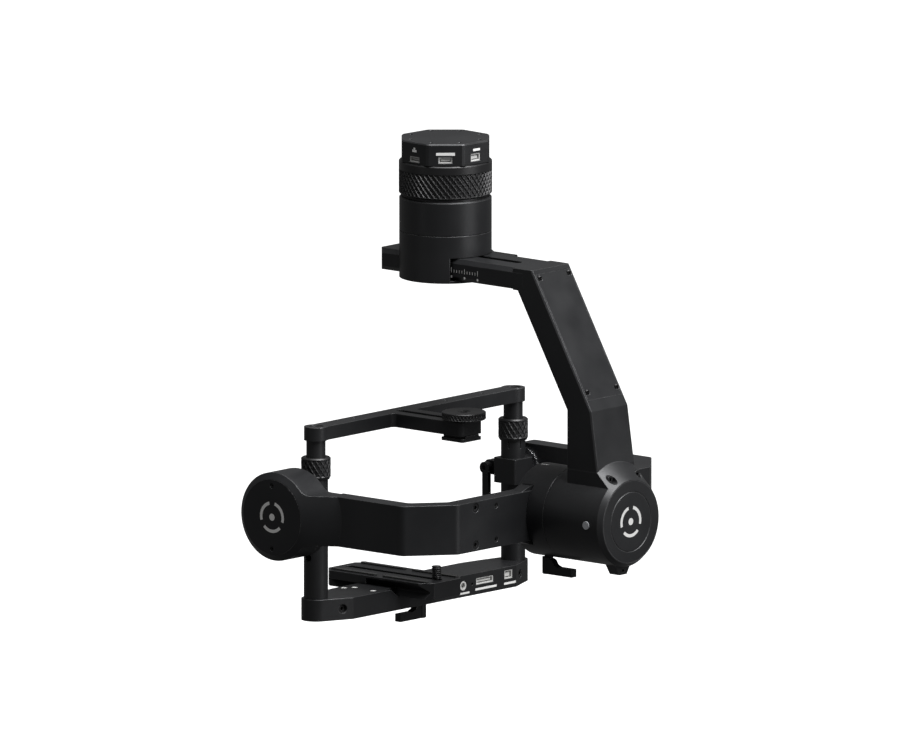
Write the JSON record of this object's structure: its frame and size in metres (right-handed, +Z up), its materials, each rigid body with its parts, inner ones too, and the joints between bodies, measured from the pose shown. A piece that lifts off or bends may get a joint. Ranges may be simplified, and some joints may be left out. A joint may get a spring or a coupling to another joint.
{
  "type": "gimbal stabilizer",
  "caption": "Three-axis camera gimbal: quick-release head, slanted pan arm, roll hub, U-shaped yoke and a tilting camera cage.",
  "frame": {"origin": "centre of the top mounting face of the quick-release head, on the pan axis", "axes": "+Z up along the pan axis, +Y forward along the roll axis, +X to the right along the tilt axis"},
  "size_m": [0.2487, 0.2221, 0.304],
  "materials": {
    "black_anodised": "satin black anodised, fine bead blast",
    "dark_hardware": "black oxide screws and levers",
    "bearing_steel": "ground bearing steel",
    "port_plastic": "moulded connector plastic",
    "grey_plastic": "light grey button cap",
    "white_plastic": "white nylon plugs",
    "grip_rubber": "matte ribbed rubber",
    "copper": "enamelled motor windings",
    "circuit_board": "solder-masked board"
  },
  "bodies": {
    "mount_head": {"release_cap": "black_anodised", "cap_board": "circuit_board", "slip_ring": "bearing_steel", "pan_upper_housing": "black_anodised", "pan_bearing": "bearing_steel", "pan_stator": "copper", "power_connector": "port_plastic", "signal_connector": "port_plastic", "usb_connector": "port_plastic"},
    "lock_ring": {"lock_ring": "black_anodised"},
    "pan_carriage": {"pan_lower_housing": "black_anodised", "pan_clamp_plate": "black_anodised", "pan_magnet_ring": "bearing_steel", "pan_shaft": "bearing_steel"},
    "pan_arm_lever": {"pan_arm_lever": "dark_hardware"},
    "pan_arm": {"pan_arm": "black_anodised", "arm_cover": "black_anodised", "arm_cover_screws": "dark_hardware", "roll_rear_cap": "black_anodised", "roll_rear_screws": "dark_hardware", "roll_stator": "copper", "roll_stator_seat": "black_anodised", "roll_bearing": "bearing_steel", "button_switch": "port_plastic"},
    "mode_button": {"mode_button": "grey_plastic"},
    "roll_hub": {"roll_hub": "black_anodised", "roll_magnet_ring": "bearing_steel", "roll_shaft": "bearing_steel"},
    "hub_lever": {"hub_lever": "dark_hardware"},
    "yoke": {"yoke_frame": "black_anodised", "yoke_screws": "dark_hardware", "tilt_cover": "black_anodised", "tilt_cover_screws": "dark_hardware", "tilt_stator": "copper", "tilt_bearing_near": "bearing_steel", "tilt_bearing_far": "bearing_steel"},
    "tilt_clamps": {"clamp_block_left": "black_anodised", "clamp_block_right": "black_anodised"},
    "block_lever_left": {"block_lever_left": "dark_hardware"},
    "block_lever_right": {"block_lever_right": "dark_hardware"},
    "cage": {"lower_tubes": "black_anodised", "base_plate": "black_anodised", "base_plugs": "white_plastic", "base_end_screws": "dark_hardware", "video_connector": "port_plastic", "data_connector": "port_plastic", "audio_jack": "port_plastic"},
    "top_frame": {"upper_tubes": "black_anodised", "top_bar": "black_anodised", "tube_plugs": "dark_hardware"},
    "collar_left": {"collar_left": "black_anodised"},
    "collar_right": {"collar_right": "black_anodised"},
    "shoe": {"shoe_foot": "black_anodised"},
    "shoe_knob": {"shoe_knob": "dark_hardware"},
    "camera_plate": {"camera_plate": "black_anodised", "grip_ribs": "grip_rubber"},
    "screw_slider": {"screw_slider": "dark_hardware"},
    "camera_screw": {"camera_screw": "dark_hardware"},
    "base_lever": {"base_lever": "dark_hardware"}
  },
  "joints": [
    {"name": "ring_turn", "type": "hinge", "parent": "mount_head", "child": "lock_ring", "pos_m": [0, 0, -0.0246], "axis": [0, 0, 1], "range_deg": [0, 60]},
    {"name": "pan", "type": "hinge", "parent": "mount_head", "child": "pan_carriage", "pos_m": [0, 0, -0.0636], "axis": [0, 0, 1], "range_deg": [-330, 330]},
    {"name": "pan_lever_turn", "type": "hinge", "parent": "pan_carriage", "child": "pan_arm_lever", "pos_m": [0.03, -0.003, -0.0786], "axis": [1, 0, 0], "range_deg": [-30, 60]},
    {"name": "arm_slide", "type": "slide", "parent": "pan_carriage", "child": "pan_arm", "axis": [0, 1, 0], "range_m": [-0.006, 0.025]},
    {"name": "button_press", "type": "slide", "parent": "pan_arm", "child": "mode_button", "axis": [1, 0, 0], "range_m": [0, 0.0006], "stiffness_N_per_m": 400, "springref_m": -0.001},
    {"name": "roll", "type": "hinge", "parent": "pan_arm", "child": "roll_hub", "pos_m": [0, -0.1046, -0.2236], "axis": [0, 1, 0], "range_deg": [-45, 45]},
    {"name": "hub_lever_turn", "type": "hinge", "parent": "roll_hub", "child": "hub_lever", "pos_m": [-0.0037, -0.087, -0.2566], "axis": [0, 0, 1], "range_deg": [-45, 45]},
    {"name": "yoke_slide", "type": "slide", "parent": "roll_hub", "child": "yoke", "axis": [1, 0, 0], "range_m": [-0.006, 0.006]},
    {"name": "tilt", "type": "hinge", "parent": "yoke", "child": "tilt_clamps", "pos_m": [0, 0.02535, -0.2236], "axis": [1, 0, 0], "range_deg": [-45, 120]},
    {"name": "left_block_lever_turn", "type": "hinge", "parent": "tilt_clamps", "child": "block_lever_left", "pos_m": [-0.086, 0.0423, -0.2236], "axis": [1, 0, 0], "range_deg": [-15, 75]},
    {"name": "right_block_lever_turn", "type": "hinge", "parent": "tilt_clamps", "child": "block_lever_right", "pos_m": [0.086, 0.0423, -0.2236], "axis": [1, 0, 0], "range_deg": [-15, 75]},
    {"name": "cage_slide", "type": "slide", "parent": "tilt_clamps", "child": "cage", "axis": [0, 0, 1], "range_m": [-0.006, 0.006]},
    {"name": "height_slide", "type": "slide", "parent": "cage", "child": "top_frame", "axis": [0, 0, 1], "range_m": [-0.009, 0.016]},
    {"name": "left_collar_turn", "type": "hinge", "parent": "cage", "child": "collar_left", "pos_m": [-0.0926, 0.02535, -0.1986], "axis": [0, 0, 1], "range_deg": [0, 120]},
    {"name": "right_collar_turn", "type": "hinge", "parent": "cage", "child": "collar_right", "pos_m": [0.0926, 0.02535, -0.1986], "axis": [0, 0, 1], "range_deg": [0, 120]},
    {"name": "shoe_slide", "type": "slide", "parent": "top_frame", "child": "shoe", "axis": [0, 1, 0], "range_m": [0, 0.035]},
    {"name": "shoe_knob_turn", "type": "hinge", "parent": "shoe", "child": "shoe_knob", "pos_m": [-0.0166, -0.0296, -0.1686], "axis": [0, 0, 1], "continuous": true},
    {"name": "plate_slide", "type": "slide", "parent": "cage", "child": "camera_plate", "axis": [0, 1, 0], "range_m": [-0.02, 0.02]},
    {"name": "screw_slide", "type": "slide", "parent": "camera_plate", "child": "screw_slider", "axis": [0, 1, 0], "range_m": [0, 0.06]},
    {"name": "camera_screw_turn", "type": "hinge", "parent": "screw_slider", "child": "camera_screw", "pos_m": [-0.01705, -0.0075, -0.2736], "axis": [0, 0, 1], "continuous": true},
    {"name": "base_lever_turn", "type": "hinge", "parent": "cage", "child": "base_lever", "pos_m": [0.002, 0.022, -0.2986], "axis": [0, 0, 1], "range_deg": [-45, 45]}
  ]
}
